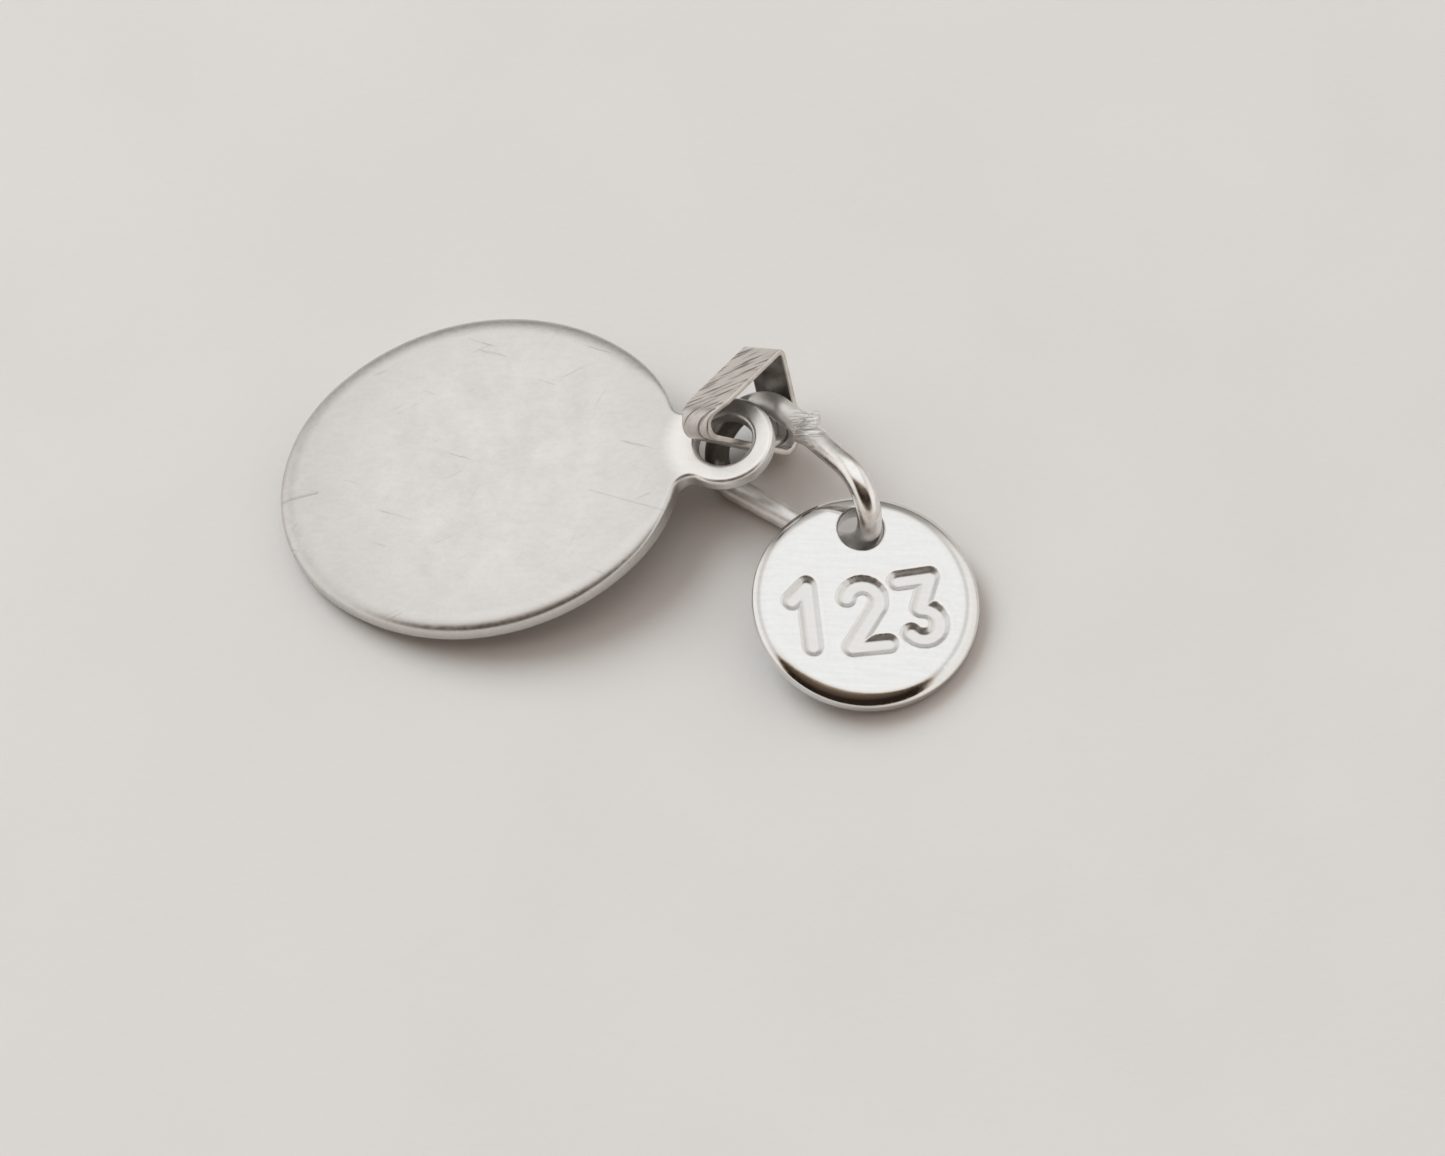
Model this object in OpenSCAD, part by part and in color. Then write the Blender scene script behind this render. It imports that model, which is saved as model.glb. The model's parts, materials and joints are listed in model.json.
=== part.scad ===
// Oval metal tag with an eye, a folded strip bail, a twisted wire link and a
// stamped number disc, lying on a table as it was put down.
// Millimetres, +Z up from the table, the tag's length along X.

/* [Tag] */
// Length of the oval, without its eye
tag_l = 16.6; // [14.6:0.1:20]
// Width of the oval
tag_w = 14.5; // [12.5:0.1:16]
// Thickness of the oval
tag_t = 1.0; // [0.8:0.05:1.4]
// How much smaller the oval's end radius is than half its width
tag_end_inset = 0.65; // [0.4:0.05:1.2]
// Rounding of the tag's upper and lower edges
tag_edge_r = 0.3; // [0.1:0.05:0.35]

/* [Eye] */
// Bore of the eye
eye_hole_d = 2.26; // [2:0.02:2.8]
// Width of metal round the eye's bore
eye_rim = 0.87; // [0.6:0.01:1]
// Thickness of the eye, level with the tag's upper face
eye_t = 0.75; // [0.5:0.05:0.8]
// From the oval's end to the middle of the eye
eye_neck_l = 1.8; // [1.6:0.05:2.4]
// Width of the neck between oval and eye
eye_neck_w = 3.0; // [2:0.1:3.4]
// How far the eye's middle lies above the wire that it rests over
eye_lift = 2.0; // [1.9:0.05:2.4]

/* [Bail] */
// Thickness of the folded strip
bail_strip_t = 0.26; // [0.2:0.01:0.34]
// Room that the eye's bore leaves beside the strip
bail_side_room = 0.86; // [0.7:0.02:1.2]
// How much wider the strip's legs are than its foot
bail_flare = 0.5; // [0:0.05:0.6]
// Height above the foot where the legs reach their full width
bail_shoulder_h = 1.5; // [1.2:0.1:3]
// From the front fold to where the strip crosses the eye
bail_front_reach = 2.9; // [2.6:0.05:3.4]
// Length of the front leg, between folds
bail_front_l = 6.0; // [5.8:0.05:6.6]
// Length of the back leg, between folds
bail_back_l = 4.7; // [4.5:0.05:5.4]
// Radius of the two lower folds, on the strip's middle
bail_foot_r = 0.6; // [0.4:0.05:0.8]
// Radius of the upper fold, on the strip's middle
bail_apex_r = 0.25; // [0.2:0.05:0.5]

/* [Link] */
// Diameter of the link's wire
wire_d = 1.0; // [0.8:0.02:1.1]
// Half length of the link, on the wire's middle
link_half_l = 4.0; // [3.8:0.05:4.6]
// Half width of the link, on the wire's middle
link_half_w = 2.0; // [1.9:0.05:2.3]
// Radius of the link's bends, on the wire's middle
link_bend_r = 1.75; // [1.4:0.05:1.85]
// Turn of each link end against the middle, from being bent open and shut
link_twist = 25; // [20:1:30]

/* [Disc] */
// Diameter of the number disc
disc_d = 9.06; // [8:0.02:11]
// Thickness of the number disc
disc_t = 1.0; // [0.85:0.05:1.2]
// How much wider the disc's hole is than the wire
disc_hole_play = 0.8; // [0.7:0.02:1]
// Width of metal between the hole and the disc's edge
disc_web = 0.6; // [0.45:0.05:0.8]
// Rounding of the disc's upper edge
disc_shoulder_r = 0.45; // [0.2:0.05:0.5]
// Rounding of the disc's lower edge
disc_edge_r = 0.3; // [0.1:0.05:0.3]

/* [Number] */
// Height of the digits
digit_h = 3.1; // [2.4:0.1:3.6]
// Width of a stamped stroke
digit_stroke = 0.5; // [0.3:0.05:0.6]
// Depth of the stamping
digit_depth = 0.15; // [0.05:0.01:0.25]
// From one digit's middle to the next
digit_pitch = 2.25; // [1.9:0.05:2.5]
// How far the row of digits lies from the disc's middle, away from the hole
digit_drop = 0.65; // [0.2:0.05:0.8]
// Slope of the row of digits
digit_rise = 3; // [0:1:6]

/* [Hidden] */
$fn = 72;
// Steps round each bend, each arc of the oval and the tag's edge, and sides of the wire
bend_steps = 10;
arc_steps = 24;
edge_steps = 3;
wire_sides = 20;

// How the loose pieces came to rest, in degrees about X, Y and Z
bail_turn = [44, 50.3, 24];
link_turn = [47.5, -8, -44];
// Direction in which the disc slopes down, and the disc's own heading
disc_lean = -33;
disc_heading = 3;
// How far beyond the eye's middle the strip crosses it
bail_cross_y = 0.1;
// How far the back fold's corner point dips below the table before its rounding
bail_dip = 0.1;
// Where the link's left end lies from the eye's middle, seen from above
link_from_eye_x = -0.1;
link_from_eye_y = 1.77;
// Which bend of the link the disc hangs on, and at what share of that bend
disc_bend = 3;
disc_bend_share = 0.75;
// Gap that stays where the wire bears on the disc's hole, and on which side
disc_bear_gap = 0.12;
disc_bear_side = -39;

// Three-by-three matrix of a turn about X, then Y, then Z
function turn(a) =
    let (cx = cos(a[0]), sx = sin(a[0]))
    let (cy = cos(a[1]), sy = sin(a[1]))
    let (cz = cos(a[2]), sz = sin(a[2]))
    [[cz * cy, cz * sy * sx - sz * cx, cz * sy * cx + sz * sx],
     [sz * cy, sz * sy * sx + cz * cx, sz * sy * cx - cz * sx],
     [-sy, cy * sx, cy * cx]];
function unit(v) = v / norm(v);
// Angle at which a cos and a sin share add up to a height
function tilt_for(sin_share, cos_share, height) =
    asin(height / norm([sin_share, cos_share])) - atan2(cos_share, sin_share);

// A rounded corner of a closed path: middle, start, end and swept angle
function bend(path, i, r) =
    let (n = len(path), p = path[i])
    let (back = unit(path[(i + n - 1) % n] - p), ahead = unit(path[(i + 1) % n] - p))
    let (half = acos(back * ahead) / 2, cut = r / tan(half))
    [p + unit(back + ahead) * r / sin(half), p + back * cut, p + ahead * cut, 180 - 2 * half];
function bend_across(b) = unit(cross(b[1] - b[0], b[2] - b[0]));
// Point on a bend, by its share of the bend and how far it lies outside the path
function bend_point(b, share, out = 0) =
    let (x = b[1] - b[0], y = cross(bend_across(b), x))
    b[0] + (x * cos(b[3] * share) + y * sin(b[3] * share)) * (1 + out / norm(x));
function bend_ahead(b, share) =
    let (x = unit(b[1] - b[0]), y = cross(bend_across(b), x))
    y * cos(b[3] * share) - x * sin(b[3] * share);

// Flat outline that runs beside a closed path
function outline(path, radii, out) = [for (i = [0 : len(path) - 1]) for (s = [0 : bend_steps])
    let (p = bend_point(bend(path, i, radii[i]), s / bend_steps, out)) [p[0], p[1]]];

// Round wire swept along a closed path about the origin
module wire_loop(path, r, d) {
    bends = [for (i = [0 : len(path) - 1]) bend(path, i, r)];
    rings = [for (b = bends) for (s = [0 : bend_steps])
        let (p = bend_point(b, s / bend_steps), z = bend_ahead(b, s / bend_steps))
        let (x = unit(p - (p * z) * z), y = cross(z, x))
        [for (a = [0 : 360 / wire_sides : 359]) p + (x * cos(a) + y * sin(a)) * d / 2]];
    count = len(rings);
    polyhedron(
        [for (ring = rings) for (p = ring) p],
        [for (i = [0 : count - 1]) for (k = [0 : wire_sides - 1])
            let (j = (i + 1) % count, m = (k + 1) % wire_sides)
            let (p = i * wire_sides, q = j * wire_sides)
            each [[p + k, q + k, q + m], [p + k, q + m, p + m]]]);
}

// Flat round with rounded upper and lower edges, from z = 0 up
module rounded_disc(r, t, upper_r, lower_r) {
    rotate_extrude() {
        square([r - upper_r, t]);
        square([r - lower_r, t - upper_r]);
        translate([0, lower_r]) square([r, t - upper_r - lower_r]);
        intersection() {
            union() {
                translate([r - upper_r, t - upper_r]) circle(upper_r);
                translate([r - lower_r, lower_r]) circle(lower_r);
            }
            square([r, t]);
        }
    }
}

// Tag: the eye's middle is held up by the wire, the far end lies on the table
eye_h = wire_d + eye_lift;
eye_od = eye_hole_d + 2 * eye_rim;
eye_reach = tag_l / 2 + eye_neck_l;
eye_mid = tag_t - eye_t / 2;
tag_tilt = tilt_for(eye_reach + tag_l / 2 - tag_edge_r, eye_mid - tag_edge_r, eye_h - tag_edge_r);
// Oval of two end arcs and two side arcs that run smoothly into each other
tag_end_r = tag_w / 2 - tag_end_inset;
end_at = tag_l / 2 - tag_end_r;
side_r = tag_end_r + (end_at ^ 2 + tag_end_inset ^ 2) / (2 * tag_end_inset);
side_at = side_r - tag_w / 2;
join_angle = atan2(side_at, end_at);

// Link: its left end lies by the eye and its lowest point on the table
link_path = [for (i = [0 : 3])
    let (end = (i == 0 || i == 3) ? 1 : -1, side = i < 2 ? 1 : -1)
    [end * link_half_l, side * link_half_w * cos(link_twist), end * side * link_half_w * sin(link_twist)]];
link_low = min([for (i = [0 : 3]) for (s = [0 : bend_steps])
    (turn(link_turn) * bend_point(bend(link_path, i, link_bend_r), s / bend_steps))[2]]);
link_out = turn(link_turn) * [link_half_l, 0, 0];
link_at = [link_from_eye_x + link_out[0], link_from_eye_y + link_out[1], wire_d / 2 - link_low];

// Bail: the strip's foot crosses the eye, its back fold reaches down to the table
bail_w = eye_hole_d - bail_side_room;
bail_foot_l = bail_front_reach + (eye_h + bail_dip) / sin(bail_turn[1]);
bail_apex_x = (bail_foot_l ^ 2 + bail_front_l ^ 2 - bail_back_l ^ 2) / (2 * bail_foot_l);
bail_radii = [bail_foot_r, bail_foot_r, bail_apex_r];
bail_apex_y = sqrt(bail_front_l ^ 2 - bail_apex_x ^ 2);
bail_path = [[0, 0, 0], [bail_foot_l, 0, 0], [bail_apex_x, bail_apex_y, 0]];
// Half the strip's width up the loop's height: even round the foot, then flaring to the legs
bail_taper = [
    [-bail_foot_r, bail_w / 2],
    [bail_foot_r, bail_w / 2],
    [bail_shoulder_h, (bail_w + bail_flare) / 2],
    [bail_front_l, (bail_w + bail_flare) / 2],
];

// Disc: hangs on the link's bend by its hole, its far edge lies on the table
disc_r = disc_d / 2;
disc_hole_d = wire_d + disc_hole_play;
disc_hole_at = disc_r - disc_web - disc_hole_d / 2;
disc_bear = disc_hole_play / 2 - disc_bear_gap;
disc_wire = [disc_bear * cos(disc_bear_side), disc_hole_at + disc_bear * sin(disc_bear_side), 0];
wire_at = link_at + turn(link_turn) * bend_point(bend(link_path, disc_bend, link_bend_r), disc_bend_share);
wire_down = disc_wire * [cos(disc_lean - disc_heading), sin(disc_lean - disc_heading), 0];
disc_tilt = tilt_for(disc_r - disc_edge_r - wire_down, disc_t / 2 - disc_edge_r, wire_at[2] - disc_edge_r);
disc_matrix = turn([0, 0, disc_lean]) * turn([0, disc_tilt, 0]) * turn([0, 0, disc_heading - disc_lean]);
disc_at = wire_at - disc_matrix * disc_wire;

// The part's origin: the middle of its outline on the table
part_left = -(eye_reach + tag_l / 2 - tag_edge_r) * cos(tag_tilt) - tag_edge_r;
part_right = disc_at[0] + disc_r;
part_near = disc_at[1] - disc_r;
part_far = tag_w / 2;
origin = [(part_left + part_right) / 2, (part_near + part_far) / 2, 0];

// Points of an arc, its last one left to the arc that follows
function arc(middle, r, from, to) = [for (i = [0 : arc_steps - 1])
    let (a = from + (to - from) * i / arc_steps) middle + r * [cos(a), sin(a)]];
// Outline of the oval, drawn in by an inset
function oval(inset) = concat(
    arc([end_at, 0], tag_end_r - inset, -join_angle, join_angle),
    arc([0, -side_at], side_r - inset, join_angle, 180 - join_angle),
    arc([-end_at, 0], tag_end_r - inset, 180 - join_angle, 180 + join_angle),
    arc([0, side_at], side_r - inset, 180 + join_angle, 360 - join_angle));

// Oval plate with rounded edges and a pierced eye on a short neck
module oval_tag() {
    color("#cdcac4") translate([0, 0, eye_h] - origin) rotate([0, -tag_tilt, 0])
    translate([-eye_reach, 0, -eye_mid]) {
        for (s = [0 : 90 / edge_steps : 90]) {
            rise = tag_edge_r * (1 - sin(s));
            translate([0, 0, rise]) linear_extrude(tag_t - 2 * rise)
                polygon(oval(tag_edge_r * (1 - cos(s))));
        }
        translate([0, 0, tag_t - eye_t]) difference() {
            union() {
                translate([eye_reach, 0, 0]) cylinder(d = eye_od, h = eye_t);
                translate([end_at, -eye_neck_w / 2, 0]) cube([eye_reach - end_at, eye_neck_w, eye_t]);
            }
            translate([eye_reach, 0, -eye_t]) cylinder(d = eye_hole_d, h = 3 * eye_t);
        }
    }
}

// Folded strip that closes a three-sided loop round the eye's rim and the link
module bail() {
    color("#a7a29a") translate([0, bail_cross_y, eye_h] - origin) rotate(bail_turn)
    translate([-bail_front_reach, 0, 0])
        intersection() {
            linear_extrude(2 * bail_w, center = true) difference() {
                polygon(outline(bail_path, bail_radii, bail_strip_t / 2));
                polygon(outline(bail_path, bail_radii, -bail_strip_t / 2));
            }
            rotate([90, 0, 90]) translate([0, 0, -bail_foot_l]) linear_extrude(3 * bail_foot_l)
                polygon(concat(bail_taper, [for (i = [3:-1:0]) [bail_taper[i][0], -bail_taper[i][1]]]));
        }
}

// Wire link, bent from one piece and twisted a little
module jump_ring() {
    color("#bab6ae") translate(link_at - origin) rotate(link_turn)
        wire_loop(link_path, link_bend_r, wire_d);
}

// Straight stamped stroke between two points
module stroke(from, to) {
    run = to - from;
    translate(from) rotate(atan2(run[1], run[0]))
        translate([0, -digit_stroke / 2]) square([norm(run), digit_stroke]);
    for (end = [from, to])
        translate(end) circle(d = digit_stroke);
}

// Round stamped stroke about a middle, from one angle through another
module curve(middle, r, start, sweep) {
    translate(middle) rotate(start) intersection() {
        difference() {
            circle(r + digit_stroke / 2);
            circle(r - digit_stroke / 2);
        }
        reach = 2 * r + digit_stroke;
        polygon([for (s = [0 : 0.25 : 1]) reach * [cos(sweep * s), sin(sweep * s)], [0, 0]]);
    }
}

// Generic digits 1, 2 and 3, drawn about the middle of each
module digits() {
    top = (digit_h - digit_stroke) / 2;
    bowl = top / 2;
    translate([-digit_pitch, 0]) {
        stroke([0, -top], [0, top]);
        stroke([0, top], [-bowl, bowl]);
    }
    curve([0, bowl], bowl, -30, 210);
    stroke([bowl * cos(30), bowl / 2], [-bowl, -top]);
    stroke([-bowl, -top], [bowl, -top]);
    translate([digit_pitch, 0]) {
        stroke([-bowl, top], [bowl, top]);
        stroke([bowl, top], [0, 0]);
        curve([0, -bowl], bowl, -150, 240);
    }
}

// Round disc with a soft shoulder, a hole near its edge and a stamped number
module number_disc() {
    color("#d6d4cf") translate(disc_at - origin)
    rotate([0, 0, disc_lean]) rotate([0, disc_tilt, 0]) rotate([0, 0, disc_heading - disc_lean])
    translate([0, 0, -disc_t / 2]) difference() {
        rounded_disc(disc_r, disc_t, disc_shoulder_r, disc_edge_r);
        translate([0, disc_hole_at, -disc_t]) cylinder(d = disc_hole_d, h = 3 * disc_t);
        translate([0, -digit_drop, disc_t - digit_depth]) rotate(digit_rise)
            linear_extrude(disc_t) digits();
    }
}

oval_tag();
bail();
jump_ring();
number_disc();
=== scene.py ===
# Oval metal tag with an eye, hung on a folded strip bail, with a twisted wire
# link that carries a stamped number disc. The pieces lie loose on a pale table.
# Each piece is drawn in millimetres in its own frame and then put in its place.
import json
import math

import bmesh
import bpy
import numpy as np
from mathutils import Matrix, Vector


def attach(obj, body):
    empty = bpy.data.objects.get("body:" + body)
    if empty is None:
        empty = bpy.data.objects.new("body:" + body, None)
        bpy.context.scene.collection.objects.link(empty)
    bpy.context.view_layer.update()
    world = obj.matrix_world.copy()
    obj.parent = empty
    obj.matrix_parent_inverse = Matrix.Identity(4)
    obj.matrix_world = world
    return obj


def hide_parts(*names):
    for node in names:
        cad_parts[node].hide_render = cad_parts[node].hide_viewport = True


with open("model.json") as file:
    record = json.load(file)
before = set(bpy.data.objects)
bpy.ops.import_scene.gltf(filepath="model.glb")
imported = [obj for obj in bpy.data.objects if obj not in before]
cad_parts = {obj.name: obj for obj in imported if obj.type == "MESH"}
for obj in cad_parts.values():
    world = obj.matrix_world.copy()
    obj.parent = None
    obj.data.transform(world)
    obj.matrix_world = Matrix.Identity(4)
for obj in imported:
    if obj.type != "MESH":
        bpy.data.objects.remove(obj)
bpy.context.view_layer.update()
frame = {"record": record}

# Table, light and camera
# Smooth pale board seen from above, under a wide cool light from the far left.
# The near side of the room is dim, which draws dark lines in the metal.
scene = bpy.context.scene
scene.view_settings.view_transform = "Standard"

camera_elevation = math.radians(59.97)
camera_azimuth = math.radians(7.15)
camera_roll = math.radians(-9.48)
camera_target = Vector((0.003748, -0.002442, 0))
camera_distance = 0.264
picture_width = 0.0578
camera = bpy.data.objects.new("camera", bpy.data.cameras.new("camera"))
camera.data.sensor_width = 36
camera.data.lens = 36 * camera_distance / picture_width
camera.data.clip_start = 0.01
camera_turn = (
    Matrix.Rotation(camera_azimuth, 4, "Z")
    @ Matrix.Rotation(math.pi / 2 - camera_elevation, 4, "X")
    @ Matrix.Rotation(camera_roll, 4, "Z")
)
camera.matrix_world = (
    Matrix.Translation(camera_target)
    @ camera_turn
    @ Matrix.Translation((0, 0, camera_distance))
)
scene.collection.objects.link(camera)
scene.camera = camera


def new_material(name):
    """A node material, with its node tree and its shader."""
    material = bpy.data.materials.new(name)
    material.use_nodes = True
    tree = material.node_tree
    return material, tree, tree.nodes["Principled BSDF"]


def add(tree, kind, wires=None, **values):
    """A node with its settings, its socket values and what its sockets take in."""
    node = tree.nodes.new(kind)
    for key, value in values.items():
        if hasattr(node, key):
            setattr(node, key, value)
        else:
            node.inputs[key.replace("_", " ").title()].default_value = value
    for socket, source in (wires or {}).items():
        tree.links.new(source, node.inputs[socket])
    return node


def ramp(tree, source, low, high, dark, light):
    """Grades a value from one place to another into a range."""
    node = add(tree, "ShaderNodeMapRange", {"Value": source})
    node.interpolation_type = "SMOOTHSTEP"
    for socket, value in zip(("From Min", "From Max", "To Min", "To Max"), (low, high, dark, light)):
        node.inputs[socket].default_value = value
    return node.outputs["Result"]


def total(tree, *parts):
    """Adds values, each with its share."""
    at = None
    for source, share in parts:
        node = add(tree, "ShaderNodeMath", {0: source}, operation="MULTIPLY_ADD")
        node.inputs[1].default_value = share
        node.inputs[2].default_value = 0
        if at:
            tree.links.new(at, node.inputs[2])
        at = node.outputs[0]
    return at


def product(tree, *parts):
    """Multiplies values."""
    at = parts[0]
    for source in parts[1:]:
        at = add(tree, "ShaderNodeMath", {0: at, 1: source}, operation="MULTIPLY").outputs[0]
    return at


def grade(tree, source, *stops):
    """Grades a value into colours, each stop a place and a grey or a colour."""
    node = add(tree, "ShaderNodeValToRGB", {"Fac": source})
    elements = node.color_ramp.elements
    while len(elements) < len(stops):
        elements.new(0.5)
    for element, (place, colour) in zip(elements, stops):
        element.position = place
        element.color = (*colour, 1)
    return node.outputs["Color"]


table_size = 0.7
bm = bmesh.new()
bmesh.ops.create_grid(bm, x_segments=2, y_segments=2, size=table_size)
table_mesh = bpy.data.meshes.new("table")
bm.to_mesh(table_mesh)
bm.free()
table = bpy.data.objects.new("table", table_mesh)
scene.collection.objects.link(table)
table_board, tree, shader = new_material("table_board")
place = add(tree, "ShaderNodeTexCoord").outputs["Object"]
blotch = add(tree, "ShaderNodeTexNoise", {"Vector": place}, Scale=90, Detail=4)
tree.links.new(
    grade(tree, blotch.outputs["Fac"], (0.3, (0.612, 0.563, 0.525)), (0.7, (0.632, 0.583, 0.545))),
    shader.inputs["Base Color"],
)
tooth = add(tree, "ShaderNodeTexNoise", {"Vector": place}, Scale=2500, Detail=5)
rough_board = add(tree, "ShaderNodeBump", {"Height": tooth.outputs["Fac"]}, Strength=0.12, Distance=0.0001)
tree.links.new(rough_board.outputs["Normal"], shader.inputs["Normal"])
shader.inputs["Roughness"].default_value = 0.85
table_mesh.materials.append(table_board)

room = bpy.data.worlds.new("room")
scene.world = room
room.use_nodes = True
tree = room.node_tree
air = tree.nodes["Background"]
look = add(tree, "ShaderNodeTexCoord").outputs["Generated"]
side = add(tree, "ShaderNodeSeparateXYZ", {"Vector": look})
wide = add(tree, "ShaderNodeMath", {0: side.outputs["X"]}, operation="ABSOLUTE")
# The near side, round the camera, is dark from a little above the table
near = product(
    tree,
    ramp(tree, side.outputs["Y"], -0.06, -0.36, 0.0, 1.0),
    ramp(tree, wide.outputs[0], 0.6, 0.92, 1.0, 0.0),
    ramp(tree, side.outputs["Z"], 0.22, 0.42, 0.0, 1.0),
)
# Roof and sides of the light tent meet in a dimmer fold, and the sides are lighter
fold = add(tree, "ShaderNodeMath", {0: wide.outputs[0], 1: side.outputs["Z"]}, operation="SUBTRACT")
fold = add(tree, "ShaderNodeMath", {0: fold.outputs[0]}, operation="ABSOLUTE")
seam = ramp(tree, fold.outputs[0], 0.0, 0.34, 0.74, 1.0)
flank = ramp(tree, wide.outputs[0], 0.55, 0.85, 0.0, 0.22)
dome = total(tree, (side.outputs["Z"], 1.0), (flank, 1.0), (near, -1.0))
glow = grade(
    tree, add(tree, "ShaderNodeMapRange", {"Value": dome}, From_Min=-0.5).outputs["Result"],
    (0.1, (0.022, 0.015, 0.010)), (0.25, (0.13, 0.092, 0.064)), (0.333, (0.43, 0.35, 0.285)),
    (0.42, (0.70, 0.615, 0.545)), (0.5, (0.84, 0.80, 0.755)), (1.0, (0.945, 0.95, 0.95)),
)
# The far wall is dimmer, and the camera sees plain grey past the table
back = ramp(tree, side.outputs["Y"], 0.62, 0.9, 1.0, 0.45)
glow = add(tree, "ShaderNodeVectorMath", {0: glow, "Scale": product(tree, back, seam)}, operation="SCALE")
seen = add(tree, "ShaderNodeLightPath").outputs["Is Camera Ray"]
pale = add(tree, "ShaderNodeMix", {0: seen, 6: glow.outputs[0]}, data_type="RGBA")
pale.inputs[7].default_value = (0.55, 0.535, 0.52, 1)
tree.links.new(pale.outputs[2], air.inputs["Color"])
air.inputs["Strength"].default_value = 1.17

softbox = bpy.data.lights.new("softbox", "AREA")
softbox.shape = "DISK"
softbox.size = 0.8
softbox.energy = 8.2
softbox.color = (0.77, 0.90, 1.0)
lamp_at = Vector((-0.53, 0.45, 0.72))
lamp = bpy.data.objects.new("softbox", softbox)
lamp.matrix_world = Matrix.Translation(lamp_at) @ lamp_at.to_track_quat("Z", "Y").to_matrix().to_4x4()
lamp.visible_glossy = False
scene.collection.objects.link(lamp)

# Oval tag
# Blank oval plate of plated metal, stamped out in one piece with its pierced
# eye. Its edges are tumbled round, and its face is satin with fine scuffs.
mm = 0.001
tag_half_l = 8.3
tag_half_w = 7.25
tag_t = 1.0
tag_end_r = 6.6
eye_at = 10.1
eye_r = 2.0
eye_bore_r = 1.13
eye_step = 0.25
neck_fillet_r = 0.6
step_from = 7.9
step_l = 1.2
edge_r = 0.22
sharp = 1.1
roll_w = 0.8
roll_h = 0.36
roll_end = 7.8
roll_fade = 1.4
roll_from = 0.6 * tag_t
roll_inside = 1.1 * edge_r
weld = 1e-4
# Two end arcs run smoothly into two side arcs
tag_end_at = tag_half_l - tag_end_r
tag_inset = tag_half_w - tag_end_r
tag_side_r = tag_end_r + (tag_end_at ** 2 + tag_inset ** 2) / (2 * tag_inset)
tag_side_at = tag_side_r - tag_half_w
tag_join = math.degrees(math.atan2(tag_side_at, tag_end_at))
# The neck's fillet touches the end arc and the eye
neck_l = eye_at - tag_end_at
end_to_fillet = tag_end_r + neck_fillet_r
eye_to_fillet = eye_r + neck_fillet_r
fillet_along = (neck_l ** 2 + end_to_fillet ** 2 - eye_to_fillet ** 2) / (2 * neck_l)
fillet_up = math.sqrt(end_to_fillet ** 2 - fillet_along ** 2)
neck_start = math.degrees(math.atan2(fillet_up, fillet_along))
eye_start = math.degrees(math.atan2(fillet_up, fillet_along - neck_l))


def arc(bm, start, middle, degrees, steps):
    """Draws an arc on from a vertex, and gives its far end."""
    drawn = bmesh.ops.spin(
        bm, geom=[start], cent=(*middle, 0), axis=(0, 0, 1), angle=math.radians(degrees), steps=steps
    )
    return drawn["geom_last"][0]


bm = bmesh.new()
tip = bm.verts.new((-tag_half_l, 0, 0))
edge = arc(bm, tip, (-tag_end_at, 0), -tag_join, 20)
edge = arc(bm, edge, (0, -tag_side_at), -(180 - 2 * tag_join), 40)
edge = arc(bm, edge, (tag_end_at, 0), neck_start - tag_join, 14)
edge = arc(bm, edge, (tag_end_at + fillet_along, fillet_up), eye_start - neck_start, 14)
edge = arc(bm, edge, (eye_at, 0), -eye_start, 30)
edge.co = (eye_at + eye_r, 0, 0)
bore = bm.verts.new((eye_at + eye_bore_r, 0, 0))
bm.edges.new((edge, bore))
bore = arc(bm, bore, (eye_at, 0), 180, 36)
bm.edges.new((bore, tip))
bmesh.ops.contextual_create(bm, geom=bm.edges[:])
bmesh.ops.mirror(bm, geom=bm.verts[:] + bm.edges[:] + bm.faces[:], axis="Y", merge_dist=weld)
bmesh.ops.remove_doubles(bm, verts=bm.verts[:], dist=weld)
bmesh.ops.recalc_face_normals(bm, faces=bm.faces[:])
plate = bmesh.ops.extrude_face_region(bm, geom=bm.faces[:])["geom"]
bmesh.ops.translate(bm, verts=[g for g in plate if isinstance(g, bmesh.types.BMVert)], vec=(0, 0, tag_t))
bmesh.ops.recalc_face_normals(bm, faces=bm.faces[:])


def rim_edges(bm):
    """Edges where a flat face meets a wall."""
    return [
        e for e in bm.edges
        if len(e.link_faces) == 2 and e.calc_face_angle() > sharp
    ]


def by_bore(e):
    """Tells an edge of the bore from one of the outline."""
    off = ((e.verts[0].co + e.verts[1].co) / 2).xy - Vector((eye_at, 0))
    return off.length < (eye_bore_r + eye_r) / 2


for at_bore in (False, True):
    bmesh.ops.bevel(
        bm, geom=[e for e in rim_edges(bm) if by_bore(e) == at_bore], offset=edge_r, offset_type="OFFSET",
        affect="EDGES", segments=8, profile=0.5, clamp_overlap=False, material=-1,
    )
# The eye is thinner than the oval, with a slope between them on the underside
for x in (step_from, step_from + step_l):
    bmesh.ops.bisect_plane(
        bm, geom=bm.verts[:] + bm.edges[:] + bm.faces[:], plane_co=(x, 0, 0), plane_no=(1, 0, 0)
    )
for v in bm.verts:
    if v.co.z < tag_t / 2:
        v.co.z += eye_step * min(max((v.co.x - step_from) / step_l, 0), 1)
bmesh.ops.recalc_face_normals(bm, faces=bm.faces[:])


def ease(x):
    """Runs smoothly from 0 to 1."""
    x = np.clip(x, 0, 1)
    return x * x * (3 - 2 * x)


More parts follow.
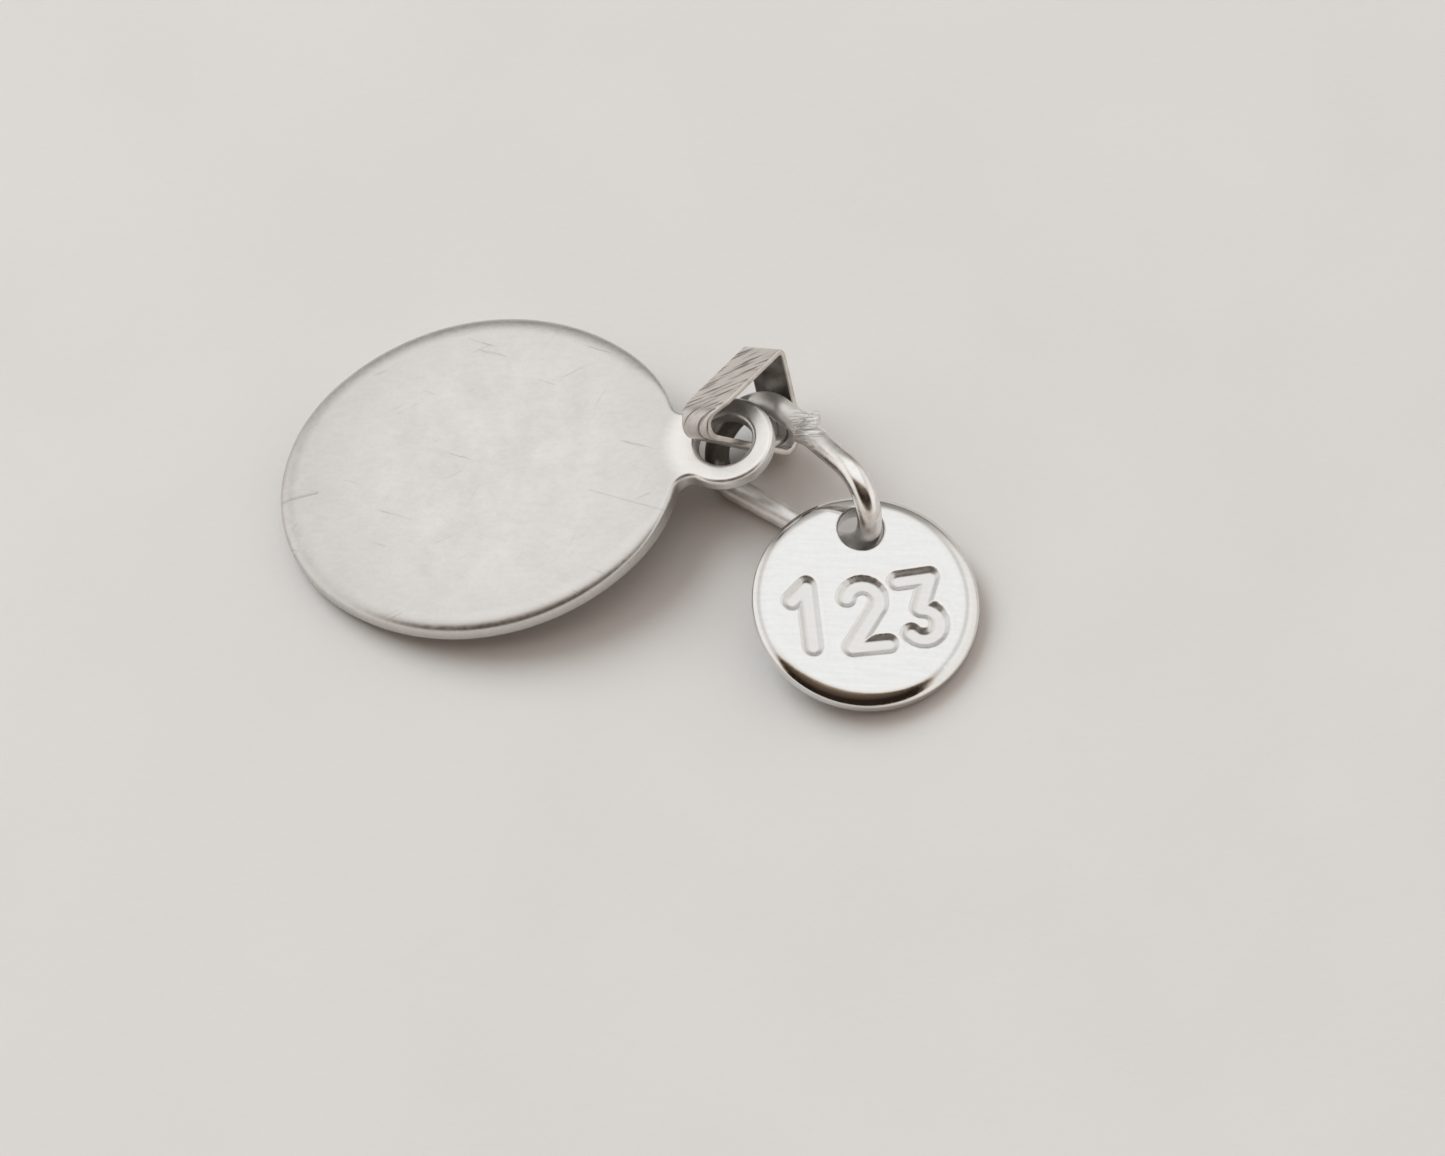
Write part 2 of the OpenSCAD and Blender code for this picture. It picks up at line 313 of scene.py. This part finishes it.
# Blanking rolls the oval's upper edge down over a wider strip than the eye's
for v in bm.verts:
    if v.co.z < roll_from or v.co.x > roll_end:
        continue
    middle = Vector((math.copysign(tag_end_at, v.co.x), 0))
    across = v.co.xy - middle
    reach = tag_end_r
    if abs(math.degrees(math.atan2(across.y, across.x * math.copysign(1, v.co.x)))) > tag_join:
        across = v.co.xy - Vector((0, math.copysign(tag_side_at, -v.co.y)))
        reach = tag_side_r
    inside = reach - across.length
    if inside < roll_inside:
        share = ease((roll_end - v.co.x) / roll_fade)
        v.co.xy -= across.normalized() * inside * share * (roll_w / edge_r - 1)
        v.co.z = tag_t - (tag_t - v.co.z) * (1 + share * (roll_h / edge_r - 1))


def put(name, bm, place, material):
    """Turns a drawn piece into an object at its place on the table."""
    bm.transform(Matrix.Scale(mm, 4) @ place)
    mesh = bpy.data.meshes.new(name)
    bm.to_mesh(mesh)
    bm.free()
    for face in mesh.polygons:
        face.use_smooth = True
    mesh.materials.append(material)
    piece = bpy.data.objects.new(name, mesh)
    scene.collection.objects.link(piece)
    return piece


def even_out(piece):
    """Keeps large flat faces flat to the light, beside their rounded edges."""
    even = piece.modifiers.new("even_faces", "WEIGHTED_NORMAL")
    even.weight = 90


def own_place(tree, place):
    """The piece's own millimetres, read back from where it was put."""
    spot, turn, _ = place.decompose()
    node = add(tree, "ShaderNodeMapping", {"Vector": add(tree, "ShaderNodeTexCoord").outputs["Object"]})
    node.vector_type = "TEXTURE"
    node.inputs["Location"].default_value = spot * mm
    node.inputs["Rotation"].default_value = turn.to_euler()
    node.inputs["Scale"].default_value = (mm, mm, mm)
    return node.outputs["Vector"]


def scuffs(tree, place, across, along, fine, stretch, low, high):
    """Straight marks of a given fineness to the millimetre, along one way of the piece."""
    ways = add(tree, "ShaderNodeCombineXYZ")
    for socket, way, scale in (("X", across, fine), ("Y", along, fine / stretch)):
        part = add(tree, "ShaderNodeVectorMath", {0: place}, operation="DOT_PRODUCT")
        part.inputs[1].default_value = Vector(way).normalized() * scale
        tree.links.new(part.outputs["Value"], ways.inputs[socket])
    noise = add(tree, "ShaderNodeTexNoise", {"Vector": ways.outputs["Vector"]}, Scale=1, Detail=3)
    return ramp(tree, noise.outputs["Fac"], low, high, 0.0, 1.0)


def mark(tree, place, start, end, width):
    """One scratch or nick on the face, from point to point, soft at its sides."""
    start, run = Vector((*start, 0)), Vector((*end, 0)) - Vector((*start, 0))
    off = add(tree, "ShaderNodeVectorMath", {0: place}, operation="MULTIPLY_ADD")
    off.inputs[1].default_value = (1, 1, 0)
    off.inputs[2].default_value = -start
    part = add(tree, "ShaderNodeVectorMath", {0: off.outputs[0]}, operation="DOT_PRODUCT")
    part.inputs[1].default_value = run / run.length_squared
    share = add(tree, "ShaderNodeClamp", {"Value": part.outputs["Value"]})
    nearest = add(tree, "ShaderNodeVectorMath", {"Scale": share.outputs[0]}, operation="SCALE")
    nearest.inputs[0].default_value = run
    ends = {0: off.outputs[0], 1: nearest.outputs[0]}
    away = add(tree, "ShaderNodeVectorMath", ends, operation="DISTANCE")
    return ramp(tree, away.outputs["Value"], width, 0, 0.0, 1.0)


tag_back = next(m for m in frame["record"]["mounts"] if m["name"] == "tag_back")
tag_at = Vector(tag_back["pos_m"]) / mm
tag_tilt = math.atan2(tag_back["axis"][0], -tag_back["axis"][2])
tag_place = Matrix.Translation(tag_at) @ Matrix.Rotation(-tag_tilt, 4, "Y")
tag_satin, tree, shader = new_material("tag_satin")
place = own_place(tree, tag_place)
cloud = add(tree, "ShaderNodeTexNoise", {"Vector": place}, Scale=0.7, Detail=9, Roughness=0.72)
speck = add(tree, "ShaderNodeTexNoise", {"Vector": place}, Scale=5, Detail=5, Roughness=0.65)
pits = ramp(tree, speck.outputs["Fac"], 0.66, 0.76, 0.0, 1.0)
brushed = scuffs(tree, place, (0.16, 1, 0), (1, -0.16, 0), 5, 3, 0.3, 0.7)
scratched = total(
    tree, (scuffs(tree, place, (0.5, 1, 0), (1, -0.5, 0), 4, 16, 0.68, 0.74), 1.0),
    (scuffs(tree, place, (1, -0.55, 0), (0.55, 1, 0), 4, 14, 0.70, 0.76), 0.8),
    (scuffs(tree, place, (-0.35, 1, 0), (1, 0.35, 0), 5, 18, 0.69, 0.75), 0.8),
    (mark(tree, place, (-8.17, -0.27), (-6.71, -0.07), 0.1), 2.2),
    (mark(tree, place, (4.59, -1.57), (8.25, -3.23), 0.06), 0.8),
)
# The face is darker towards the edge of the oval, most at its left end, in soft clouds.
rim_way = add(tree, "ShaderNodeVectorMath", {0: place}, operation="MULTIPLY_ADD")
rim_way.inputs[1].default_value = (0.12, 0.11, 0)
rim_way.inputs[2].default_value = (-0.12, 0, 0)
rim_share = add(tree, "ShaderNodeVectorMath", {0: rim_way.outputs[0]}, operation="LENGTH")
darker_left = total(tree, (rim_share.outputs["Value"], 1.0), (cloud.outputs["Fac"], 0.9))
darker_left = ramp(tree, darker_left, 0.98, 1.55, 0.0, 1.0)
# Painted highlight: the face is painted lighter round the eye, lifting the ring where the bail and link
# darken its reflection.
from_eye = add(tree, "ShaderNodeVectorMath", {0: place}, operation="DISTANCE")
from_eye.inputs[1].default_value = (eye_at, 0, tag_t)
eye_painted_highlight = ramp(tree, from_eye.outputs["Value"], 1.9, 2.7, 1.0, 0.0)
tone = total(
    tree, (cloud.outputs["Fac"], 0.6), (speck.outputs["Fac"], 0.45), (brushed, 0.05), (scratched, -0.25),
    (pits, -0.3), (darker_left, -0.17), (eye_painted_highlight, 0.45),
)
tree.links.new(
    grade(tree, tone, (0.2, (0.555, 0.539, 0.523)), (0.95, (0.893, 0.873, 0.852))),
    shader.inputs["Base Color"],
)
tree.links.new(ramp(tree, speck.outputs["Fac"], 0.3, 0.7, 0.30, 0.40), shader.inputs["Roughness"])
satin = total(tree, (speck.outputs["Fac"], 0.6), (brushed, 0.12), (scratched, -1.0), (pits, -0.8))
worn = add(tree, "ShaderNodeBump", {"Height": satin}, Strength=0.4, Distance=0.00001)
tree.links.new(worn.outputs["Normal"], shader.inputs["Normal"])
shader.inputs["Metallic"].default_value = 1

tag = put("tag_plate", bm, tag_place, tag_satin)
even_out(tag)
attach(tag, "tag")
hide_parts("oval_tag")

# Bail
# Thin metal strip folded into a three-sided loop through the eye. It is rolled
# with slanting striations, and it narrows where it passes through the bore.
strip_t = 0.26
strip_edge_r = 0.07
strip_weld = 1e-3
strip_foot_w = 1.4
strip_leg_w = 1.9
strip_foot_h = 0.6
strip_shoulder_h = 1.5
bail_foot_l = 6.929
bail_front_l = 6.0
bail_back_l = 4.7
bail_radii = (0.6, 0.25, 0.6)
bail_start = Vector((3.4, 0, 0))
bail_reach = 2.9
bright_run = (5, 1.2)
edge_facing = 0.3
inner_facing = 0.25
bail_at = Vector((4.2100, 2.1109, 3.0))
bail_turn = (44, 50.3, 24)
apex_x = (bail_foot_l ** 2 + bail_front_l ** 2 - bail_back_l ** 2) / (2 * bail_foot_l)
apex_y = math.sqrt(bail_front_l ** 2 - apex_x ** 2)
bail_corners = [Vector((bail_foot_l, 0, 0)), Vector((apex_x, apex_y, 0)), Vector((0, 0, 0))]


def turned(degrees):
    """Turn about X, then Y, then Z."""
    x, y, z = (math.radians(a) for a in degrees)
    return Matrix.Rotation(z, 4, "Z") @ Matrix.Rotation(y, 4, "Y") @ Matrix.Rotation(x, 4, "X")


def lead_straight(bm, ring, run, steps):
    """Draws the ring of edges out along a straight run."""
    for _ in range(steps):
        drawn = bmesh.ops.extrude_edge_only(bm, edges=ring)["geom"]
        bmesh.ops.translate(
            bm, verts=[g for g in drawn if isinstance(g, bmesh.types.BMVert)], vec=run / steps
        )
        ring = [g for g in drawn if isinstance(g, bmesh.types.BMEdge) and len(g.link_faces) == 1]
    return ring


def lead_round(bm, ring, start, corners, radii, end, bend_steps, run_steps):
    """Draws the ring of edges out round each corner in turn, up to the end."""
    at = start
    for i, corner in enumerate(corners):
        ahead_to = corners[i + 1] if i + 1 < len(corners) else end
        back = (at - corner).normalized()
        ahead = (ahead_to - corner).normalized()
        half = back.angle(ahead) / 2
        cut = radii[i] / math.tan(half)
        ring = lead_straight(bm, ring, corner + back * cut - at, run_steps)
        drawn = bmesh.ops.spin(
            bm, geom=ring + list({v for e in ring for v in e.verts}),
            cent=corner + (back + ahead).normalized() * radii[i] / math.sin(half),
            axis=(-back).cross(ahead).normalized(), angle=math.pi - 2 * half, steps=bend_steps,
        )["geom_last"]
        ring = [g for g in drawn if isinstance(g, bmesh.types.BMEdge)]
        at = corner + ahead * cut
    return lead_straight(bm, ring, end - at, run_steps)


bm = bmesh.new()
bmesh.ops.create_grid(bm, x_segments=1, y_segments=1, size=0.5)
bmesh.ops.scale(bm, verts=bm.verts[:], vec=(strip_foot_w, strip_t, 1))
bmesh.ops.bevel(
    bm, geom=bm.verts[:], offset=strip_edge_r, offset_type="OFFSET", affect="VERTICES", segments=3,
    profile=0.5, material=-1,
)
bmesh.ops.rotate(bm, verts=bm.verts[:], matrix=Matrix.Rotation(math.pi / 2, 3, "Y"))
bmesh.ops.translate(bm, verts=bm.verts[:], vec=bail_start)
bmesh.ops.delete(bm, geom=bm.faces[:], context="FACES_ONLY")
lead_round(bm, bm.edges[:], bail_start, bail_corners, bail_radii, bail_start, 10, 6)
bmesh.ops.remove_doubles(bm, verts=bm.verts[:], dist=strip_weld)
for v in bm.verts:
    rise = min(max((v.co.y - strip_foot_h) / (strip_shoulder_h - strip_foot_h), 0), 1)
    v.co.z *= 1 + (strip_leg_w / strip_foot_w - 1) * rise
bmesh.ops.recalc_face_normals(bm, faces=bm.faces[:])

bail_place = Matrix.Translation(bail_at) @ turned(bail_turn) @ Matrix.Translation((-bail_reach, 0, 0))
bail_rolled, tree, shader = new_material("bail_rolled")
place = own_place(tree, bail_place)
rolled_across = (-0.471, -0.4215, 0.775)
rolled_along = (0.577, 0.517, 0.632)
streak = scuffs(tree, place, rolled_across, rolled_along, 7, 10, 0.32, 0.52)
cloud = add(tree, "ShaderNodeTexNoise", {"Vector": place}, Scale=1.5, Detail=4)
# Painted shade: the strip is painted darker towards its front fold at the foot of the loop.
from_fold = add(tree, "ShaderNodeVectorMath", {0: place}, operation="DISTANCE")
painted_shade = ramp(tree, from_fold.outputs["Value"], 0.9, 2.2, 0.3, 0.0)
tone = total(tree, (streak, 0.6), (cloud.outputs["Fac"], 0.4), (painted_shade, -1.0))
tree.links.new(
    grade(tree, tone, (0.15, (0.20, 0.178, 0.16)), (0.8, (0.90, 0.865, 0.835))),
    shader.inputs["Base Color"],
)
tree.links.new(ramp(tree, cloud.outputs["Fac"], 0.3, 0.7, 0.34, 0.46), shader.inputs["Roughness"])
rolled = add(tree, "ShaderNodeBump", {"Height": streak}, Strength=0.4, Distance=0.00002)
tree.links.new(rolled.outputs["Normal"], shader.inputs["Normal"])
shader.inputs["Metallic"].default_value = 1

bail_plain = []
for name, dark, light in (("bail_inside_painted_shade", 0.2, 0.35), ("bail_edge", 0.52, 0.70)):
    metal, tree, shader = new_material(name)
    cloud = add(tree, "ShaderNodeTexNoise", {"Vector": own_place(tree, bail_place)}, Scale=2, Detail=5)
    tree.links.new(
        grade(
            tree, cloud.outputs["Fac"], (0.3, (dark * 1.08, dark, dark * 0.92)),
            (0.7, (light * 1.06, light, light * 0.94)),
        ),
        shader.inputs["Base Color"],
    )
    tree.links.new(ramp(tree, cloud.outputs["Fac"], 0.3, 0.7, 0.3, 0.42), shader.inputs["Roughness"])
    shader.inputs["Metallic"].default_value = 1
    bail_plain.append(metal)

# The loop's inside faces take a dark metal, painted shade inside the loop, except at the back fold's lower
# corner, which keeps the rolled metal
loop_middle = (bail_corners[0] + bail_corners[1]) / 3
for face in bm.faces:
    middle = face.calc_center_median()
    inward = face.normal.dot((loop_middle - middle).normalized())
    if abs(face.normal.z) > edge_facing:
        face.material_index = 2
    elif inward > inner_facing and (middle.x < bright_run[0] or middle.y > bright_run[1]):
        face.material_index = 1
bail = put("bail_strip", bm, bail_place, bail_rolled)
for metal in bail_plain:
    bail.data.materials.append(metal)
even_out(bail)
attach(bail, "bail")
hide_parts("bail")

# Link
# Round wire bent into a long loop, twisted a little by opening and closing it.
# Its cut ends meet in a rough seam on the upper run.
wire_r = 0.5
link_half_l = 4.0
link_half_w = 2.0
link_twist = math.radians(25)
link_bend_r = 1.75
link_at = Vector((6.9594, 1.0293, 1.8281))
link_turn = (47.5, -8, -44)
seam_share = 0.58
seam_gap = 0.12
seam_reach = 1.5 * wire_r
seam_across = Vector((0.104, 0.864, -0.492))
seam_face = Vector((-0.179, 0.503, 0.846))
stub_shift = 0.10
stub_shift_l = 1.6
stub_pinch = 0.10
stub_pinch_l = 0.6
stub_flat = 0.22
stub_filed = 0.5
stub_filed_l = 1.4
stub_middle = 1.0
filed_off = 0.4
rub_share = 0.1
burr_wide = 0.95
burr_narrow = 0.25
burr_l = 0.7
burr_flat = 0.2
cut_edge_r = 0.06
wire_sides = 28
stub_face = turned(link_turn).to_3x3().inverted() @ Vector((-0.3, 0.12, 0.95)).normalized()


def link_corner(end, side):
    """A corner of the twisted loop, before its bends are rounded."""
    return Vector((
        end * link_half_l,
        side * link_half_w * math.cos(link_twist),
        end * side * link_half_w * math.sin(link_twist),
    ))


link_corners = [link_corner(-1, 1), link_corner(-1, -1), link_corner(1, -1), link_corner(1, 1)]
seam_at = link_corners[3].lerp(link_corners[0], seam_share)
seam_run = (link_corners[0] - link_corners[3]).normalized()
bm = bmesh.new()
bmesh.ops.create_circle(bm, cap_ends=False, segments=wire_sides, radius=wire_r)
bm.transform(
    Matrix.Translation(seam_at + seam_run * seam_gap / 2)
    @ seam_run.to_track_quat("Z", "Y").to_matrix().to_4x4()
)
wire_start = bm.edges[:]
wire_end = lead_round(
    bm, wire_start, seam_at + seam_run * seam_gap / 2, link_corners, (link_bend_r,) * 4,
    seam_at - seam_run * seam_gap / 2, 16, 16,
)
for v in bm.verts:
    off = v.co - seam_at
    along = off.dot(seam_run)
    if (off - along * seam_run).length > seam_reach:
        continue
    wide = off.dot(seam_across)
    deep = off.dot(seam_face)
    if along > 0:
        pinch = ease(1 - along / stub_pinch_l)
        shift = stub_shift * ease(1 - along / stub_shift_l)
        v.co += seam_across * (shift + stub_pinch * pinch * wide)
        v.co -= seam_face * stub_flat * pinch * deep
        v.co -= stub_face * stub_filed * ease(stub_filed_l - along) * max(off.dot(stub_face), 0)
    else:
        pinch = ease(1 + along / burr_l)
        v.co += seam_across * pinch * (burr_wide if wide > 0 else burr_narrow) * wide
        v.co -= seam_face * burr_flat * pinch * deep
for ring in (wire_start, wire_end):
    cap = bmesh.ops.contextual_create(bm, geom=ring)["faces"]
    bmesh.ops.bevel(
        bm, geom=cap[0].edges[:], offset=cut_edge_r, offset_type="OFFSET", affect="EDGES", segments=2,
        profile=0.5, material=-1,
    )
bmesh.ops.recalc_face_normals(bm, faces=bm.faces[:])

link_place = Matrix.Translation(link_at) @ turned(link_turn)
wire_drawn, tree, shader = new_material("wire_drawn")
place = own_place(tree, link_place)
from_seam = add(tree, "ShaderNodeVectorMath", {0: place}, operation="DISTANCE")
from_seam.inputs[1].default_value = seam_at - seam_run * filed_off
filed_zone = ramp(tree, from_seam.outputs["Value"], 0.5, 1.5, 1.0, 0.0)
filed = scuffs(tree, place, (-0.488, 0.867, -0.106), (0.711, 0.323, -0.624), 7, 6, 0.35, 0.65)
filed = product(tree, filed, filed_zone)
drawn = scuffs(tree, place, (0, 0.5, 0.86), (1, 0, 0.2), 5, 12, 0.3, 0.7)
cloud = add(tree, "ShaderNodeTexNoise", {"Vector": place}, Scale=2.5, Detail=5)
# Painted shade: the wire is painted darker at its crook that lies under the eye.
from_crook = add(tree, "ShaderNodeVectorMath", {0: place}, operation="DISTANCE")
from_crook.inputs[1].default_value = (link_corners[0] + link_corners[1]) / 2
painted_shade = ramp(tree, from_crook.outputs["Value"], 1.4, 2.3, 0.6, 0.0)
tone = total(tree, (cloud.outputs["Fac"], 0.7), (drawn, 0.25), (filed, 0.4), (painted_shade, -1.0))
tree.links.new(
    grade(tree, tone, (0.0, (0.16, 0.145, 0.13)), (0.25, (0.69, 0.665, 0.64)), (0.9, (0.98, 0.965, 0.95))),
    shader.inputs["Base Color"],
)
from_bend = add(tree, "ShaderNodeVectorMath", {0: place}, operation="DISTANCE")
from_bend.inputs[1].default_value = link_corners[3].lerp(link_corners[0], rub_share)
rubbed = ramp(tree, from_bend.outputs["Value"], 1.4, 2.6, -0.2, 0.0)
from_stub = add(tree, "ShaderNodeVectorMath", {0: place}, operation="DISTANCE")
from_stub.inputs[1].default_value = seam_at + seam_run * stub_middle
frosted = ramp(tree, from_stub.outputs["Value"], 0.9, 1.6, 0.08, 0.0)
dull = total(
    tree, (ramp(tree, cloud.outputs["Fac"], 0.3, 0.7, 0.36, 0.46), 1.0), (rubbed, 1.0), (frosted, 1.0)
)
tree.links.new(dull, shader.inputs["Roughness"])
dent = add(tree, "ShaderNodeTexNoise", {"Vector": place}, Scale=1.2, Detail=1)
uneven = total(tree, (dent.outputs["Fac"], 0.5), (drawn, 0.08))
handled = add(tree, "ShaderNodeBump", {"Height": uneven}, Strength=0.3, Distance=0.00004)
filing = add(
    tree, "ShaderNodeBump", {"Height": filed, "Normal": handled.outputs["Normal"]}, Strength=0.8,
    Distance=0.00007,
)
tree.links.new(filing.outputs["Normal"], shader.inputs["Normal"])
shader.inputs["Metallic"].default_value = 1

link = put("wire_link", bm, link_place, wire_drawn)
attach(link, "link")
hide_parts("jump_ring")

# Number disc
# Thick polished disc, pressed with a soft shoulder and drilled near its edge.
# The number is struck one digit at a time, so each sits a little differently.
disc_r = 4.53
disc_half_t = 0.5
disc_shoulder_r = 1.1
disc_shoulder_sweep = 44
disc_rim_r = 0.12
disc_edge_r = 0.3
disc_hole_r = 0.9
disc_hole_at = 3.03
hole_lip = 0.14
hole_lip_sweep = 85
hole_lip_over = 0.01
drill_half_l = 2
drill_sides = 64
disc_sides = 320
face_rings = 74
back_rings = 12
face_depth = 0.25
drill_sliver = 1e-4
disc_at = Vector((9.5031, -4.7309, 1.3273))
disc_lean = -33
disc_tilt = 11.332
disc_heading = 3
digit_top = 1.3
digit_bowl = 0.65
stroke_half = 0.31
stroke_wall = 0.29
stroke_steps = 12
ridge_h = 0.018
ridge_off = 0.22
ridge_w = 0.1
struck_from = 0.02


def curve_points(middle, r, start, sweep):
    """Points along a round stroke."""
    turns = [math.radians(start + sweep * i / stroke_steps) for i in range(stroke_steps + 1)]
    return [(middle[0] + r * math.cos(a), middle[1] + r * math.sin(a)) for a in turns]


digit_one = [(-0.55, 0.72), (0.08, digit_top), (0.08, -digit_top)]
digit_two = curve_points((0, digit_bowl), digit_bowl, 165, -195)
digit_two += [(-digit_bowl - 0.05, -digit_top), (digit_bowl + 0.1, -digit_top)]
digit_three = [(-digit_bowl, digit_top), (digit_bowl, digit_top), (0, 0.02)]
digit_three += curve_points((0, -digit_bowl), digit_bowl, 88, -238)
# Each digit: its strokes, where it was struck, its slant and how deep
struck = (
    (digit_one, (-2.4, -0.68), 2, 0.18),
    (digit_two, (-0.12, -0.72), 4, 0.155),
    (digit_three, (2.1, -0.5), 7, 0.165),
)

bm = bmesh.new()
crown = bm.verts.new((0, 0, disc_half_t))
shoulder = bm.verts.new((disc_r, 0, disc_half_t))
face_edge = bm.edges.new((crown, shoulder))


def rim_arc(start, middle, degrees, steps):
    """Draws the rim's outline on round a middle, and gives its far end."""
    drawn = bmesh.ops.spin(
        bm, geom=[start], cent=(middle[0], 0, middle[1]), axis=(0, 1, 0), angle=math.radians(degrees),
        steps=steps,
    )
    return drawn["geom_last"][0]


rim_turn = math.radians(disc_shoulder_sweep)
shoulder.co.x = disc_r - disc_rim_r - (disc_shoulder_r - disc_rim_r) * math.sin(rim_turn)
rim = rim_arc(shoulder, (shoulder.co.x, disc_half_t - disc_shoulder_r), disc_shoulder_sweep, 16)
rim_middle = (disc_r - disc_rim_r, rim.co.z - disc_rim_r * math.cos(rim_turn))
rim = rim_arc(rim, rim_middle, 90 - disc_shoulder_sweep, 6)
wall = bm.verts.new((disc_r, 0, disc_edge_r - disc_half_t))
bm.edges.new((rim, wall))
rim = rim_arc(wall, (disc_r - disc_edge_r, wall.co.z), 90, 8)
bm.edges.new((rim, bm.verts.new((0, 0, -disc_half_t))))
bmesh.ops.subdivide_edges(bm, edges=[face_edge], cuts=face_rings)
bmesh.ops.subdivide_edges(bm, edges=[e for e in bm.edges if e.calc_length() > 1], cuts=back_rings)
bmesh.ops.spin(
    bm, geom=bm.verts[:] + bm.edges[:], cent=(0, 0, 0), axis=(0, 0, 1), angle=2 * math.pi,
    steps=disc_sides, use_merge=True,
)
bmesh.ops.remove_doubles(bm, verts=bm.verts[:], dist=weld)
bmesh.ops.recalc_face_normals(bm, faces=bm.faces[:])

# Striking sinks each digit's strokes and raises a slight ridge round them
face = [v for v in bm.verts if v.co.z > disc_half_t - face_depth]
spots = np.array([v.co.xy for v in face])
sink = np.zeros(len(spots))
for points, middle, slant, depth in struck:
    c, s = math.cos(math.radians(slant)), math.sin(math.radians(slant))
    line = np.array(points) @ np.array([[c, s], [-s, c]]) + middle
    off = np.full(len(spots), np.inf)
    for a, b in zip(line[:-1], line[1:]):
        along = np.clip(((spots - a) @ (b - a)) / ((b - a) @ (b - a)), 0, 1)
        off = np.minimum(off, np.linalg.norm(spots - a - along[:, None] * (b - a), axis=1))
    sink += depth * ease((stroke_half - off) / stroke_wall + 0.5)
    sink -= ridge_h * np.exp(-(((off - stroke_half - ridge_off) / ridge_w) ** 2))
for v, low in zip(face, sink):
    v.co.z -= low
    if low > struck_from:
        for f in v.link_faces:
            f.material_index = 1

disc_place = (
    Matrix.Translation(disc_at)
    @ Matrix.Rotation(math.radians(disc_lean), 4, "Z")
    @ Matrix.Rotation(math.radians(disc_tilt), 4, "Y")
    @ Matrix.Rotation(math.radians(disc_heading - disc_lean), 4, "Z")
)
disc_metals = []
for name, dull in (("disc_polish", 0.06), ("disc_struck", 0.32)):
    metal, tree, shader = new_material(name)
    place = own_place(tree, disc_place)
    speck = add(tree, "ShaderNodeTexNoise", {"Vector": place}, Scale=7, Detail=5)
    wiped = scuffs(tree, place, (0.1, 1, 0), (1, -0.1, 0), 6, 10, 0.3, 0.7)
    tone = total(tree, (speck.outputs["Fac"], 0.6), (wiped, 0.2))
    tree.links.new(
        grade(tree, tone, (0.2, (0.735, 0.731, 0.720)), (0.7, (0.80, 0.798, 0.789))),
        shader.inputs["Base Color"],
    )
    gloss = ramp(tree, speck.outputs["Fac"], 0.3, 0.7, dull, dull + 0.08)
    tree.links.new(gloss, shader.inputs["Roughness"])
    ripple = add(tree, "ShaderNodeTexNoise", {"Vector": place}, Scale=1.2, Detail=2)
    ding = mark(tree, place, (2.95, -3.0), (3.3, -2.7), 0.16)
    uneven = total(tree, (ripple.outputs["Fac"], 1.0), (wiped, 0.01), (ding, -0.8))
    wavy = add(tree, "ShaderNodeBump", {"Height": uneven}, Strength=0.12, Distance=0.00005)
    tree.links.new(wavy.outputs["Normal"], shader.inputs["Normal"])
    shader.inputs["Metallic"].default_value = 1
    disc_metals.append(metal)

drill = bmesh.new()
start = drill.verts.new((disc_hole_r, 0, 0))
flare_at = disc_half_t - hole_lip + hole_lip_over
flare = drill.verts.new((disc_hole_r, 0, flare_at))
drill.edges.new((start, flare))
lip = bmesh.ops.spin(
    drill, geom=[flare], cent=(disc_hole_r + hole_lip, 0, flare_at), axis=(0, 1, 0),
    angle=math.radians(hole_lip_sweep), steps=6,
)["geom_last"][0]
top = drill.verts.new((lip.co.x, 0, drill_half_l))
drill.edges.new((lip, top))
drill.edges.new((top, drill.verts.new((0, 0, drill_half_l))))
bmesh.ops.mirror(drill, geom=drill.verts[:] + drill.edges[:], axis="Z", merge_dist=weld)
bmesh.ops.spin(
    drill, geom=drill.verts[:] + drill.edges[:], cent=(0, 0, 0), axis=(0, 0, 1), angle=2 * math.pi,
    steps=drill_sides, use_merge=True,
)
bmesh.ops.remove_doubles(drill, verts=drill.verts[:], dist=weld)
bmesh.ops.recalc_face_normals(drill, faces=drill.faces[:])
drill_place = disc_place @ Matrix.Translation((0, disc_hole_at, 0))
drill_piece = put("drill", drill, drill_place, disc_metals[0])

disc = put("stamped_disc", bm, disc_place, disc_metals[0])
disc.data.materials.append(disc_metals[1])
hole = disc.modifiers.new("hole", "BOOLEAN")
hole.object = drill_piece
hole.solver = "EXACT"
drilled = bpy.data.meshes.new_from_object(disc.evaluated_get(bpy.context.evaluated_depsgraph_get()))
disc.modifiers.clear()
disc.data = drilled
# Drilling leaves a few slivers of no width
bm = bmesh.new()
bm.from_mesh(drilled)
bmesh.ops.dissolve_degenerate(bm, dist=drill_sliver * mm, edges=bm.edges[:])
bm.to_mesh(drilled)
bm.free()
bpy.data.objects.remove(drill_piece)
even_out(disc)
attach(disc, "disc")
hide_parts("number_disc")
